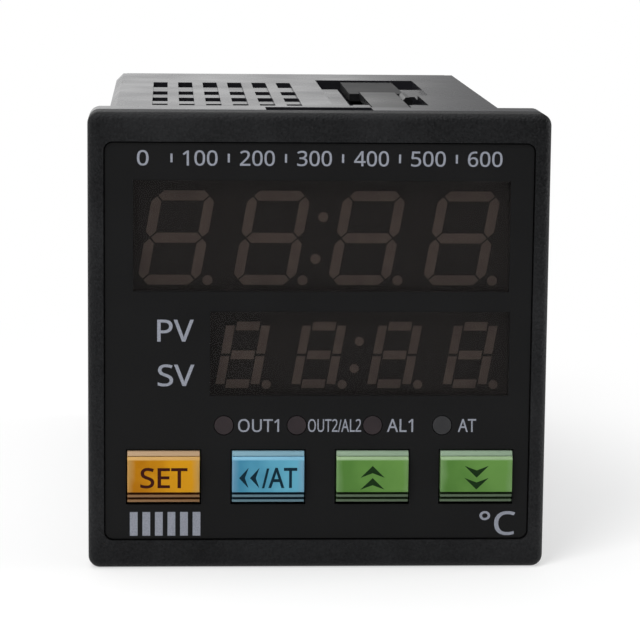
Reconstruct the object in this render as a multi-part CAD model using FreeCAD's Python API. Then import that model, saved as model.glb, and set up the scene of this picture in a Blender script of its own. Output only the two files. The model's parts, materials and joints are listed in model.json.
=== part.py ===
import FreeCAD, Part
import math
import os

os.makedirs("parts", exist_ok=True)

V = FreeCAD.Vector

# A 1/16 DIN panel-mount temperature controller.  Millimetres; X to the right as seen from the
# front, Y into the panel, Z up.  The origin is the centre of the panel cut-out, in the plane
# where the bezel seats on the panel.

# ------------------------------------------------------------------ driving dimensions
# bands of the square front from the top down: they add up to the height of the printed overlay,
# and with the frame round it the front comes to 48 mm
frame_top = 3.15
frame_side = 1.8
title_band = 3.85
pv_window_height = 11.6
window_gap = 2.1
sv_window_height = 8.9
lamp_band = 5.86
key_height = 5.58
foot_band = 3.81

# front bezel
bezel_depth = 8.0
bezel_corner_radius = 1.2
bezel_edge_radius = 0.9
seam_chamfer = 0.15
front_plate_thickness = 2.0
tongue_length = 12.0
tongue_side_margin = 5.8
tongue_thickness = 1.2
tongue_clearance = 0.15
post_size = 2.0
post_pin_size = 1.1
post_edge_margin = 0.1
pin_clearance = 0.05

# printed overlay and the window lens behind it
overlay_corner_radius = 0.8
overlay_thickness = 0.5
overlay_inset = 0.3
overlay_gap = 0.15
lens_thickness = 0.8
lens_margin = 0.6
lens_gap = 0.1
pv_window_left_margin = 2.895
pv_window_right_margin = 2.355
sv_window_width = 31.3
sv_window_right_margin = 2.2

# digit displays
display_depth = 7.0
display_gap = 0.1
display_clearance = 0.1
segment_depth = 0.5
module_margin = (0.5, 0.6)
display_drop = 0.35
pv_shift = -0.22
pv_digit = (6.5, 9.87)
pv_stroke = 1.04
pv_end_margin = 1.43
pv_segment_gap = 0.12
pv_point_offset = (4.04, -4.45)
pv_point_radius = 0.55
pv_colon_rise = 2.2
sv_shift = -0.25
sv_digit = (4.6, 7.05)
sv_stroke = 0.92
sv_end_margin = 1.395
sv_segment_gap = 0.18
sv_vertical_inset = 0.42
sv_point_offset = (3.04, -3.15)
sv_point_radius = 0.5
sv_colon_rise = 1.44
digit_count = 4
digit_slant_deg = 10.0

# indicator lamps
lamp_x = (-9.84, -2.2, 5.76, 13.08)
lamp_rise = 2.71
lamp_radius = 0.98
lamp_clearance = 0.08
lamp_recess = 0.05
lamp_tail = 0.6
lamp_lead = 0.45
lamp_lead_spacing = 1.27

# push keys and their switches
key_width = 7.55
key_side_margin = 2.0
key_group_x = 0.3
key_clearance = 0.15
key_corner = 0.2
key_proud = 0.35
key_step = 0.22
key_top_band = 0.57
key_top_groove = (0.09, 0.3)
key_top_bevel = 0.26
key_foot_groove = (0.23, 0.4)
key_foot_rib = 0.34
key_crown = 0.12
key_side_chamfer = 0.2
key_flange_lip = 0.5
key_flange_thickness = 0.9
key_stem_size = 2.8
key_stem_length = 0.5
key_travel = 0.3
switch_size = 6.0
switch_chamfer = 0.5
plunger_size = 3.2
plunger_clearance = 0.08
plunger_proud = 1.0
plunger_depth = 1.6
plunger_room = 0.4

# case, with the flange behind the bezel that seats on the panel
flange_depth = 4.0
pry_slot_left = -5.5
pry_slot_right = 5.7
pry_slot_wall = 0.4
pry_slot_depth = 0.9
bezel_lip = 1.6
case_length = 72.0
case_wall = 1.6
case_chamfer = 0.9
vent_columns = 6
vent_side_margin = 4.9
vent_pitch = 3.05
vent_width = 1.75
vent_rows = ((21.2, 4.4), (29.2, 5.3), (38.9, 5.2), (50.6, 5.8))
vent_recess = 0.2
ratchet_front = 6.0
ratchet_teeth = 14
ratchet_pitch = 2.0
ratchet_depth = 0.6
ratchet_height = 7.0
ratchet_land = 0.2
ratchet_crest = 0.06

# latch arm of the front unit: a slim arm, a round lug beside it and a press pad at its end
arm_x = 9.45
arm_width = 4.25
arm_thickness = 0.9
arm_length = 43.0
arm_root = 1.0
arm_clearance = 0.15
arm_gap_below = 0.6
lug_front = 34.8
lug_rear = 41.8
lug_gap = 0.4
lug_radius = 0.62
lug_web_length = 3.5
lug_web_thickness = 0.45
pad_margin_left = 1.2
pad_margin_right = 1.1
pad_drop = 0.2
pad_end_gap = 0.8

# well for the arm in the top of the case, with shallow ledges round it
well_front = 22.8
well_rear_margin = 10.5
well_gap_left = 2.0
well_gap_right = 2.4
well_floor = 1.0
well_side = 1.2
catch_clearance = 0.3
catch_drop = 0.9
pad_room_front = 53.3
ledge_left = 3.0
ledge_right = 15.3
ledge_front = 21.8
ledge_step = 37.5
ledge_depth = 0.55

# circuit boards and what they carry
board_thickness = 1.6
board_clearance = 0.2
side_board_margin = 2.8
side_board_rear_margin = 9.0
side_board_clearance = 0.4
rail_width = 1.1
rail_height = 1.9
rail_clearance = 0.1
rail_root = 0.2
rail_front = 4.0
rail_end_margin = 1.0
core_size = (8.0, 20.0, 17.0)
core_window = (4.0, 10.0)
core_leg = 6.0
coil_length = 14.0
coil_clearance = 0.1
transformer_y = 25.0
relay_size = (15.2, 10.2, 20.2)
relay_y = (31.0, 43.0)
relay_z = -6.0
relay_chamfer = 0.4
capacitor_large = (5.0, 16.0)
capacitor_small = (4.0, 12.0)
capacitor_y = 48.0
capacitor_z = (9.0, -9.0)
chip_size = 10.0
chip_thickness = 1.6
chip_y = 13.0

# rear terminal block
terminal_rows = 6
terminal_side_margin = 7.7
terminal_end_wall = 2.5
terminal_flange_margin = 0.4
terminal_depth = 6.0
terminal_floor = 2.2
barrier_thickness = 1.2
spigot_length = 8.0
spigot_clearance = 0.15
spigot_wall = 1.2
spine_gap = 3.0
clamp_width = 5.6
clamp_side_clearance = 0.25
clamp_thickness = 0.8
contact_base_thickness = 0.8
finger_thickness = 0.5
finger_width = 3.0
finger_length = 15.0
contact_clearance = 0.1
screw_radius = 1.45
screw_head_radius = 2.5
screw_head_height = 1.8
screw_head_sides = 24
screw_length = 7.0
screw_recess = (0.7, 3.2, 0.9)
screw_hole_clearance = 0.2
thread_clearance = 0.05
snap_lug = (1.2, 2.6, 4.0)
snap_land = 0.9
snap_root = 0.2
snap_clearance = 0.15
snap_rear_margin = 4.5
snap_z = 9.0

# how far a cut runs past the face that it opens
past = 1.0

# ------------------------------------------------------------------ derived planes and sizes
overlay_height = (title_band + pv_window_height + window_gap + sv_window_height + lamp_band
                  + key_height + foot_band)
bezel_size = overlay_height + 2 * frame_top
overlay_width = bezel_size - 2 * frame_side
case_size = bezel_size - 2 * bezel_lip
y_front = -bezel_depth
y_seam = -flange_depth
y_overlay_front = y_front + overlay_inset
y_overlay_back = y_overlay_front + overlay_thickness
y_lens_back = y_overlay_back + lens_thickness
y_plate_back = y_overlay_back + front_plate_thickness
y_display_face = y_lens_back + display_gap
y_board_front = y_display_face + display_depth
y_board_back = y_board_front + board_thickness
y_key_base = y_overlay_front - key_proud
y_key_top = y_key_base - 2 * key_step
y_flange_back = y_plate_back + key_flange_thickness
y_stem_end = y_flange_back + key_stem_length
y_switch_front = y_stem_end + plunger_proud
y_plunger_back = y_switch_front + plunger_depth
case_inner = case_size - 2 * case_wall
case_top = case_size / 2
tongue_outer = case_inner / 2 - tongue_clearance
tongue_inner = tongue_outer - tongue_thickness
arm_left = arm_x - arm_width / 2
arm_right = arm_x + arm_width / 2
well_left = arm_left - well_gap_left
well_right = arm_right + well_gap_right
well_bottom = case_top - arm_thickness - arm_gap_below
well_rear = case_length - well_rear_margin
pad_left = arm_left - pad_margin_left
pad_right = arm_right + pad_margin_right
side_board_x = case_inner / 2 - side_board_margin
side_board_face = side_board_x - board_thickness / 2
side_board_rear = case_length - side_board_rear_margin
rail_rear = side_board_rear - rail_end_margin
terminal_flange = case_size - 2 * terminal_flange_margin
terminal_x = terminal_flange / 2 - terminal_side_margin
terminal_pitch = (terminal_flange - 2 * terminal_end_wall + barrier_thickness) / terminal_rows
terminal_cell = terminal_pitch - barrier_thickness
clamp_height = terminal_cell - 2 * clamp_side_clearance
snap_y = case_length - snap_rear_margin
y_terminal_floor = case_length + terminal_floor
y_terminal_rear = case_length + terminal_depth


# ------------------------------------------------------------------ helpers
def block(x0, x1, y0, y1, z0, z1):
    """Box between two opposite corners."""
    return Part.makeBox(x1 - x0, y1 - y0, z1 - z0, V(x0, y0, z0))


def along_y(edges):
    """The straight edges that run front to back."""
    return [e for e in edges if abs(e.tangentAt(e.FirstParameter).y) > 0.99]


def edges_at(shape, y):
    """The edges that lie in one plane square to the depth."""
    return [e for e in shape.Edges if abs(e.CenterOfMass.y - y) < 0.01]


def plate(width, height, radius, y0, y1, x=0.0, z=0.0):
    """Rectangle with rounded corners as seen from the front, from y0 to y1."""
    shape = block(x - width / 2, x + width / 2, y0, y1, z - height / 2, z + height / 2)
    return shape.makeFillet(radius, along_y(shape.Edges))


def panel(width, height, y0, y1, x, z):
    """Sharp rectangle as seen from the front, from y0 to y1."""
    return block(x - width / 2, x + width / 2, y0, y1, z - height / 2, z + height / 2)


def chamfered(width, chamfer, y0, y1):
    """Square tube blank with its four long edges cut off."""
    shape = block(-width / 2, width / 2, y0, y1, -width / 2, width / 2)
    return shape.makeChamfer(chamfer, along_y(shape.Edges))


def rod_y(radius, x, z, y0, y1):
    """Cylinder that runs front to back."""
    return Part.makeCylinder(radius, y1 - y0, V(x, y0, z), V(0, 1, 0))


def rod_x(radius, y, z, x0, x1):
    """Cylinder that runs left to right."""
    return Part.makeCylinder(radius, x1 - x0, V(x0, y, z), V(1, 0, 0))


def post(size, x, z, y0, y1):
    """Square post that runs front to back."""
    h = size / 2
    return block(x - h, x + h, y0, y1, z - h, z + h)


def front_prism(points, y0, y1):
    """Polygon of (x, z) points, from y0 to y1."""
    loop = [V(x, y0, z) for x, z in points]
    return Part.Face(Part.makePolygon(loop + loop[:1])).extrude(V(0, y1 - y0, 0))


def stud(radius, x, z, y0, y1, sides=8):
    """Small round that runs front to back, as a prism with few sides."""
    angles = [math.tau * (i + 0.5) / sides for i in range(sides)]
    return front_prism([(x + radius * math.cos(a), z + radius * math.sin(a)) for a in angles], y0, y1)


def top_prism(points, z0, z1):
    """Polygon of (x, y) points, from z0 to z1."""
    loop = [V(x, y, z0) for x, y in points]
    return Part.Face(Part.makePolygon(loop + loop[:1])).extrude(V(0, 0, z1 - z0))


def joined(shapes):
    """One solid out of touching pieces."""
    return shapes[0].fuse(shapes[1:]).removeSplitter()


def save(name, *solids):
    """Writes one node: a solid, or a group of separate solids."""
    shape = solids[0] if len(solids) == 1 else Part.Compound(list(solids))
    shape.exportStep("parts/" + name + ".step")


# ------------------------------------------------------------------ positions used by several pieces
key_pitch = (overlay_width - 2 * key_side_margin - key_width) / 3
key_x = [key_group_x + (i - 1.5) * key_pitch for i in range(4)]
key_z = -overlay_height / 2 + foot_band + key_height / 2
lamp_z = key_z + key_height / 2 + lamp_rise
post_x = case_inner / 2 - post_size / 2 - 2 * board_clearance - tongue_thickness
post_z = tongue_inner - post_size / 2 - post_edge_margin
between_keys = [(key_x[0] + key_x[1]) / 2, (key_x[2] + key_x[3]) / 2]
posts = [(x, post_z) for x in (-post_x, post_x)] + [(x, -post_z) for x in between_keys]
terminals = [
    (side, (i - (terminal_rows - 1) / 2) * terminal_pitch)
    for side in (-1, 1)
    for i in range(terminal_rows)
]

# each window and display module as (centre x, centre z, width, height)
pv_window = (
    (pv_window_left_margin - pv_window_right_margin) / 2,
    overlay_height / 2 - title_band - pv_window_height / 2,
    overlay_width - pv_window_left_margin - pv_window_right_margin,
    pv_window_height,
)
sv_window = (
    overlay_width / 2 - sv_window_right_margin - sv_window_width / 2,
    pv_window[1] - pv_window_height / 2 - window_gap - sv_window_height / 2,
    sv_window_width,
    sv_window_height,
)
pv_box = (pv_window[0] + pv_shift, pv_window[1] - display_drop,
          pv_window[2] + 2 * module_margin[0], pv_window[3] + 2 * module_margin[1])
sv_box = (sv_window[0] + sv_shift, sv_window[1] - display_drop,
          sv_window[2] + 2 * module_margin[0], sv_window[3] + 2 * module_margin[1])
pv_pitch = (pv_window[2] - pv_digit[0] - 2 * pv_end_margin) / (digit_count - 1)
sv_pitch = (sv_window[2] - sv_digit[0] - 2 * sv_end_margin) / (digit_count - 1)
lens_left = min(b[0] - b[2] / 2 for b in (pv_box, sv_box)) - lens_margin
lens_right = max(b[0] + b[2] / 2 for b in (pv_box, sv_box)) + lens_margin
lens_bottom = min(b[1] - b[3] / 2 for b in (pv_box, sv_box)) - lens_margin
lens_top = max(b[1] + b[3] / 2 for b in (pv_box, sv_box)) + lens_margin


def windows(y0, y1):
    """The two display windows as solids, from y0 to y1."""
    return [panel(w, h, y0, y1, x, z) for x, z, w, h in (pv_window, sv_window)]


def key_holes(y0, y1):
    """The openings for the four keys as solids, from y0 to y1."""
    grow = 2 * key_clearance
    return [panel(key_width + grow, key_height + grow, y0, y1, x, key_z) for x in key_x]


# ------------------------------------------------------------------ front bezel
def latch_arm():
    """Springy arm behind the top of the bezel: its lug holds in the case and its pad frees it."""
    z0 = case_top - arm_thickness
    lug_x = arm_right + lug_gap + lug_radius
    return [
        block(arm_left, arm_right, y_seam - arm_root, arm_length, z0, case_top),
        block(arm_x, lug_x, lug_rear - lug_web_length, lug_rear, z0, z0 + lug_web_thickness),
        stud(lug_radius, lug_x, case_top - lug_radius, lug_front, lug_rear),
        block(pad_left, pad_right, arm_length - arm_root, well_rear - pad_end_gap,
              z0 - pad_drop, case_top - pad_drop),
    ]


def tongues():
    """Top and bottom guides that slide into the case and hold the display board between them."""
    half = case_inner / 2 - tongue_side_margin
    lower = block(-half, half, y_plate_back, tongue_length, -tongue_outer, -tongue_inner)
    reach = well_left - well_side - 2 * tongue_clearance
    upper = block(-half, reach, y_plate_back, tongue_length, tongue_inner, tongue_outer)
    return [lower, upper]


def front_bezel():
    """Moulded frame and front plate, with board posts, guides and latch arm in one piece."""
    body = plate(bezel_size, bezel_size, bezel_corner_radius, y_front, y_seam)
    body = body.makeFillet(bezel_edge_radius, edges_at(body, y_front))
    body = body.makeChamfer(seam_chamfer, edges_at(body, y_seam))
    cuts = [
        plate(overlay_width + 2 * overlay_gap, overlay_height + 2 * overlay_gap,
              overlay_corner_radius + overlay_gap, y_front - past, y_overlay_back),
        block(lens_left - lens_gap, lens_right + lens_gap, y_front, y_lens_back,
              lens_bottom - lens_gap, lens_top + lens_gap),
        block(-case_inner / 2, case_inner / 2, y_plate_back, past, -case_inner / 2, case_inner / 2),
    ]
    for x, z, w, h in (pv_box, sv_box):
        d = 2 * display_clearance
        cuts.append(panel(w + d, h + d, y_front, past, x, z))
    for x in lamp_x:
        cuts.append(post(2 * (lamp_radius + lamp_clearance), x, lamp_z, y_front, past))
    cuts += key_holes(y_front, past)
    body = body.cut(cuts)
    extra = tongues() + latch_arm()
    for x, z in posts:
        extra.append(post(post_size, x, z, y_plate_back, y_board_front))
        extra.append(post(post_pin_size, x, z, y_board_front, y_board_back))
    return joined([body] + extra)


# ------------------------------------------------------------------ overlay and lens
def front_overlay():
    """Printed front sheet with openings for the windows, the lamps and the keys."""
    sheet = plate(overlay_width, overlay_height, overlay_corner_radius, y_overlay_front, y_overlay_back)
    cuts = windows(y_front, 0)
    for x in lamp_x:
        cuts.append(rod_y(lamp_radius + lamp_clearance, x, lamp_z, y_front, 0))
    return sheet.cut(cuts + key_holes(y_front, 0))


def window_lens():
    """Smoked lens plate whose two raised windows fill the openings of the overlay."""
    sheet = block(lens_left, lens_right, y_overlay_back, y_lens_back, lens_bottom, lens_top)
    return joined([sheet] + windows(y_overlay_front, y_overlay_back))


# ------------------------------------------------------------------ digit displays
def mitred_digit():
    """Seven segments with pointed ends, as (x, z) polygons about the centre of an upright digit."""
    a = (pv_digit[0] - pv_stroke) / 2
    b = (pv_digit[1] - pv_stroke) / 2
    s = pv_stroke / 2
    g = pv_segment_gap
    flat = [(-a + g, 0), (-a + g + s, s), (a - g - s, s), (a - g, 0), (a - g - s, -s), (-a + g + s, -s)]
    tall = [(0, g), (s, g + s), (s, b - g - s), (0, b - g), (-s, b - g - s), (-s, g + s)]
    bars = [[(x, z + level) for x, z in flat] for level in (-b, 0, b)]
    bars += [[(x + side, z + low) for x, z in tall] for side in (-a, a) for low in (-b, 0)]
    return bars


def square_digit():
    """Seven segments with square ends, as (x, z) polygons about the centre of an upright digit."""
    a = (sv_digit[0] - sv_stroke) / 2
    b = (sv_digit[1] - sv_stroke) / 2
    s = sv_stroke / 2
    g = sv_segment_gap
    reach = a - s - g
    flat = [(-reach, -s), (-reach, s), (reach, s), (reach, -s)]
    top = sv_digit[1] / 2 - sv_vertical_inset
    tall = [(-s, g * 0.8), (-s, top), (s, top), (s, g * 0.8)]
    bars = [[(x, z + level) for x, z in flat] for level in (-b, 0, b)]
    bars += [[(x + side, z * up) for x, z in tall] for side in (-a, a) for up in (-1, 1)]
    return bars


def display(box, digit, pitch, point, point_radius, colon_rise):
    """Moulded display block with its segments set flush in the face.

    Returns the block and the list of segment solids.
    """
    lean = math.tan(math.radians(digit_slant_deg))
    cx, cz, width, height = box
    y0 = y_display_face
    y1 = y0 + segment_depth
    solids = []
    for i in range(digit_count):
        x0 = cx + (i - (digit_count - 1) / 2) * pitch
        for bar in digit:
            solids.append(front_prism([(x0 + x + z * lean, cz + z) for x, z in bar], y0, y1))
        solids.append(stud(point_radius, x0 + point[0] + point[1] * lean, cz + point[1], y0, y1))
    for rise in (-colon_rise, colon_rise):
        solids.append(stud(point_radius, cx + rise * lean, cz + rise, y0, y1))
    body = block(cx - width / 2, cx + width / 2, y0, y_board_front, cz - height / 2, cz + height / 2)
    return body.cut(solids), solids


# ------------------------------------------------------------------ lamps, keys, switches
def lamp(x):
    """Round indicator lamp that reaches through the front plate, on two leads from the board."""
    back = y_plate_back + lamp_tail
    leads = [
        post(lamp_lead, x + side * lamp_lead_spacing / 2, lamp_z, back, y_board_front)
        for side in (-1, 1)
    ]
    return joined([rod_y(lamp_radius, x, lamp_z, y_overlay_front + lamp_recess, back)] + leads)


def key_profile():
    """Side outline of a key as (y, z) points: above the crowned face, and below it.

    The top has a band that leans back, a fine groove and a bevel.  The foot has two ribs, each
    set back from the one above it and parted from it by a groove.
    """
    middle = y_key_base - key_step
    height, depth = key_top_groove
    z0 = key_z + key_height / 2
    z1 = z0 - key_top_band
    z2 = z1 - height
    above = [(y_plate_back, z0), (y_key_base, z0), (middle, z1), (middle + depth, z1),
             (middle + depth, z2), (middle, z2), (y_key_top, z2 - key_top_bevel)]
    height, depth = key_foot_groove
    z0 = key_z - key_height / 2
    z1 = z0 + key_foot_rib
    z2 = z1 + height
    z3 = z2 + key_foot_rib
    z4 = z3 + height
    below = [(y_key_top, z4), (y_key_top + depth, z4), (y_key_top + depth, z3), (middle, z3),
             (middle, z2), (middle + depth, z2), (middle + depth, z1), (y_key_base, z1),
             (y_key_base, z0), (y_plate_back, z0)]
    return above, below


def keycap(x):
    """Key with a crowned face between grooved bands, stop lips and a stem behind."""
    left = x - key_width / 2
    above, below = [[V(left, y, z) for y, z in side] for side in key_profile()]
    top = (above[-1].z + below[0].z) / 2
    crown = Part.Arc(above[-1], V(left, y_key_top - key_crown, top), below[0]).toShape()
    outline = above + below
    edges = [Part.makeLine(a, b) for a, b in zip(outline, outline[1:])]
    edges[len(above) - 1] = crown
    edges.append(Part.makeLine(outline[-1], outline[0]))
    cap = Part.Face(Part.Wire(edges)).extrude(V(key_width, 0, 0))
    blank = panel(key_width, key_height, y_key_top - past, y_plate_back, x, key_z)
    cap = cap.common(blank.makeChamfer(key_corner, along_y(blank.Edges)))
    w = key_width / 2
    c = key_side_chamfer
    front = y_key_top - key_crown
    ends = [(x - w, y_plate_back), (x - w, front + c), (x - w + c, front), (x + w - c, front),
            (x + w, front + c), (x + w, y_plate_back)]
    h = key_height / 2
    cap = cap.common(top_prism(ends, key_z - h, key_z + h))
    lip = h + key_flange_lip
    flange = block(x - w, x + w, y_plate_back, y_flange_back, key_z - lip, key_z + lip)
    stem = post(key_stem_size, x, key_z, y_flange_back, y_stem_end)
    return joined([cap, flange, stem])


def switch_plunger(x):
    """Square plunger of a tact switch, which moves with its key."""
    return post(plunger_size, x, key_z, y_stem_end, y_plunger_back)


def tact_switch(x):
    """Square switch body on the board, with a square well for its plunger."""
    body = post(switch_size, x, key_z, y_switch_front, y_board_front)
    body = body.makeChamfer(switch_chamfer, along_y(body.Edges))
    well = post(plunger_size + 2 * plunger_clearance, x, key_z, y_switch_front - past,
                y_plunger_back + key_travel + plunger_room)
    return body.cut(well)


# ------------------------------------------------------------------ case
def vent_cuts():
    """Slots of the ventilation grid in the top and the bottom, with bars a little below the face."""
    first = vent_rows[0][0]
    last = vent_rows[-1][0] + vent_rows[-1][1]
    cuts = []
    for i in range(vent_columns):
        x0 = vent_side_margin - case_size / 2 + i * vent_pitch
        x1 = x0 + vent_width
        for side in (-1, 1):
            z = sorted((side * (case_top - vent_recess), side * (case_top + past)))
            cuts.append(block(x0, x1, first, last, *z))
            z = sorted((side * (case_top - case_wall - past), side * case_top))
            for start, length in vent_rows:
                cuts.append(block(x0, x1, start, start + length, *z))
    return cuts


def well_cuts():
    """Slim channel for the latch arm, the wells for its lug and its pad, and the ledges round them."""
    top = case_top + past
    ledge = case_top - ledge_depth
    catch = lug_front - catch_clearance
    lug_room = lug_rear + catch_clearance
    right = arm_right + arm_clearance
    return [
        block(arm_left - arm_clearance, right, y_seam - past, well_front, well_bottom,
              case_top + arm_clearance),
        block(well_left, right, well_front, pad_room_front, well_bottom, top),
        block(arm_right, well_right, well_front, catch, case_top - catch_drop, top),
        block(arm_right, well_right, catch, lug_room, well_bottom, top),
        block(arm_right, pad_right + arm_clearance, arm_length - arm_root - arm_clearance,
              pad_room_front, well_bottom, top),
        block(ledge_left, ledge_right, pad_room_front, well_rear, well_bottom, top),
        block(ledge_left, well_left, ledge_front, pad_room_front, ledge, top),
        block(arm_right, ledge_right, ledge_step, pad_room_front, ledge, top),
    ]


def ratchet_cut(side):
    """Saw-tooth groove in one side of the case for the clamp of a mounting frame."""
    outer = side * (case_size / 2 + past)
    root = side * (case_size / 2 - ratchet_depth)
    crest = side * (case_size / 2 - ratchet_crest)
    points = [(outer, ratchet_front)]
    for i in range(ratchet_teeth):
        y = ratchet_front + i * ratchet_pitch
        points += [(root, y), (crest, y + ratchet_pitch - ratchet_land)]
    points += [(root, ratchet_front + ratchet_teeth * ratchet_pitch),
               (outer, ratchet_front + ratchet_teeth * ratchet_pitch)]
    return top_prism(points, -ratchet_height / 2, ratchet_height / 2)


def board_rails():
    """Guide rails inside the top and bottom walls, a pair for each side board."""
    rails = []
    half = board_thickness / 2 + rail_clearance
    wall = case_inner / 2
    for side in (-1, 1):
        for x0 in (side_board_x - half - rail_width, side_board_x + half):
            x = sorted((side * x0, side * (x0 + rail_width)))
            for z in ((-wall - rail_root, -wall + rail_height), (wall - rail_height, wall + rail_root)):
                rails.append(block(*x, rail_front, rail_rear, *z))
    return rails


def case_shell():
    """Flanged sleeve round the boards: vents, latch well, clamp ratchets, board rails, snap windows."""
    flange = plate(bezel_size, bezel_size, bezel_corner_radius, y_seam, 0)
    flange = flange.makeChamfer(seam_chamfer, edges_at(flange, y_seam))
    sleeve = chamfered(case_size, case_chamfer, y_seam, case_length)
    inner = case_inner / 2
    shell = sleeve.fuse(flange).cut(block(-inner, inner, y_seam - past, case_length + past, -inner, inner))
    z = (well_bottom - well_floor, case_top - ledge_depth)
    bosses = [
        block(well_left - well_side, ledge_right + well_side, y_seam, well_rear + well_side, *z),
        block(ledge_left - well_side, ledge_right + well_side, pad_room_front - well_side,
              well_rear + well_side, *z),
    ]
    shell = joined([shell] + bosses + board_rails())
    cuts = well_cuts() + vent_cuts() + [ratchet_cut(-1), ratchet_cut(1)]
    cuts.append(block(pry_slot_left, pry_slot_right, y_seam - past, -pry_slot_wall,
                      bezel_size / 2 - pry_slot_depth, bezel_size / 2 + past))
    grow = 2 * snap_clearance
    for side in (-1, 1):
        for z in (-snap_z, snap_z):
            x = sorted((side * (inner - past), side * (case_size / 2 + past)))
            cuts.append(block(*x, snap_y - (snap_lug[1] + grow) / 2, snap_y + (snap_lug[1] + grow) / 2,
                              z - (snap_lug[2] + grow) / 2, z + (snap_lug[2] + grow) / 2))
    return shell.cut(cuts)


# ------------------------------------------------------------------ boards and components
def display_board():
    """Board behind the displays, pinned on the posts of the bezel."""
    half_x = case_inner / 2 - board_clearance
    half_z = tongue_inner - post_edge_margin
    board = block(-half_x, half_x, y_board_front, y_board_back, -half_z, half_z)
    hole = post_pin_size + 2 * pin_clearance
    holes = [post(hole, x, z, y_board_front - past, y_board_back + past) for x, z in posts]
    return board.cut(holes)


def side_board(side):
    """Board that stands in the rails of the case and butts on the display board."""
    x = sorted((side * (side_board_x - board_thickness / 2), side * (side_board_x + board_thickness / 2)))
    half_z = case_inner / 2 - side_board_clearance
    return block(*x, y_board_back, side_board_rear, -half_z, half_z)


def transformer():
    """Laminated core with two windows, and the coil that passes through both of them."""
    thick, length, height = core_size
    wy, wz = core_window
    coil_x0 = -side_board_face
    cx = coil_x0 + coil_length / 2
    y = transformer_y
    core = block(cx - thick / 2, cx + thick / 2, y - length / 2, y + length / 2, -height / 2, height / 2)
    for side in (-1, 1):
        ys = sorted((y + side * core_leg / 2, y + side * (core_leg / 2 + wy)))
        core = core.cut(block(cx - thick, cx + thick, *ys, -wz / 2, wz / 2))
    c = coil_clearance
    reach = core_leg / 2 + wy - c
    coil = block(coil_x0, coil_x0 + coil_length, y - reach, y + reach, -wz / 2 + c, wz / 2 - c)
    hole = block(cx - thick / 2 - c, cx + thick / 2 + c, y - core_leg / 2 - c, y + core_leg / 2 + c,
                 -wz / 2, wz / 2)
    return core, coil.cut(hole)


def relay(y):
    """Relay soldered on the inner face of the control board."""
    depth, length, height = relay_size
    x1 = side_board_face
    body = block(x1 - depth, x1, y - length / 2, y + length / 2, relay_z - height / 2, relay_z + height / 2)
    along_x = [e for e in body.Edges if abs(e.tangentAt(e.FirstParameter).x) > 0.99]
    return body.makeChamfer(relay_chamfer, along_x)


def capacitor(size, z):
    """Can capacitor that stands on the power board."""
    radius, length = size
    return rod_x(radius, capacitor_y, z, -side_board_face, -side_board_face + length)


def controller_chip():
    """Flat processor package on the control board."""
    h = chip_size / 2
    return block(side_board_face - chip_thickness, side_board_face, chip_y - h, chip_y + h, -h, h)


# ------------------------------------------------------------------ rear terminals
def contact_positions(side):
    """Signed x of the contact base's inner and outer ends, the outer one on the side board's face."""
    return side * (terminal_x - clamp_width / 2), side * side_board_face


def terminal_block():
    """Rear moulding: spigot into the case, flange, centre spine, and barriers between the terminals."""
    half = terminal_flange / 2
    spigot = case_inner / 2 - spigot_clearance
    flange = block(-half, half, case_length, y_terminal_floor, -half, half)
    y_spigot = case_length - spigot_length
    ring = block(-spigot, spigot, y_spigot, case_length, -spigot, spigot)
    s = spigot - spigot_wall
    ring = ring.cut(block(-s, s, y_spigot - past, case_length, -s, s))
    spine = terminal_x - clamp_width / 2 - spine_gap
    pieces = [flange, ring, block(-spine, spine, y_terminal_floor, y_terminal_rear, -half, half)]
    end = half - terminal_end_wall
    for z0, z1 in ((-half, -end), (end, half)):
        pieces.append(block(-half, half, y_terminal_floor, y_terminal_rear, z0, z1))
    for side, z in terminals[: terminal_rows - 1]:
        z0 = z + terminal_cell / 2
        pieces.append(block(-half, half, y_terminal_floor, y_terminal_rear, z0, z0 + barrier_thickness))
    for side in (-1, 1):
        for z in (-snap_z, snap_z):
            reach, length, height = snap_lug
            x0 = side * (spigot - snap_root)
            tip = side * (spigot + reach)
            y0 = snap_y - length / 2
            y1 = snap_y + length / 2
            ramp = [(x0, y0), (tip, y1 - snap_land), (tip, y1), (x0, y1)]
            pieces.append(top_prism(ramp, z - height / 2, z + height / 2))
    body = joined(pieces).common(chamfered(terminal_flange, case_chamfer, y_spigot, y_terminal_rear))
    cuts = []
    c = contact_clearance
    for side, z in terminals:
        x = sorted(contact_positions(side))
        w = clamp_height / 2 + c
        cuts.append(block(x[0] - c, x[1] + c, y_terminal_floor - contact_base_thickness,
                          y_terminal_floor + past, z - w, z + w))
        w = screw_radius + screw_hole_clearance
        x = sorted((side * (terminal_x - w), side * (side_board_face + c)))
        cuts.append(block(*x, case_length - past, y_terminal_floor, z - w, z + w))
    return body.cut(cuts)


def contact(side, z):
    """Brass angle: threaded base under the screw, and a finger forward onto the side board."""
    x = sorted(contact_positions(side))
    w = clamp_height / 2
    y0 = y_terminal_floor - contact_base_thickness
    base = block(*x, y0, y_terminal_floor, z - w, z + w)
    fx = sorted((side * (side_board_face - finger_thickness), side * side_board_face))
    finger = block(*fx, case_length - finger_length, y_terminal_floor,
                   z - finger_width / 2, z + finger_width / 2)
    hole = stud(screw_radius + thread_clearance, side * terminal_x, z, y0 - past, y_terminal_floor + past)
    return joined([base, finger]).cut(hole)


def clamp_plate(side, z):
    """Flat wire clamp under the screw head, with a hole for the screw."""
    x = side * terminal_x
    y1 = y_terminal_floor + clamp_thickness
    body = panel(clamp_width, clamp_height, y_terminal_floor, y1, x, z)
    hole = stud(screw_radius + screw_hole_clearance, x, z, y_terminal_floor - past, y1 + past)
    return body.cut(hole)


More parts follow.
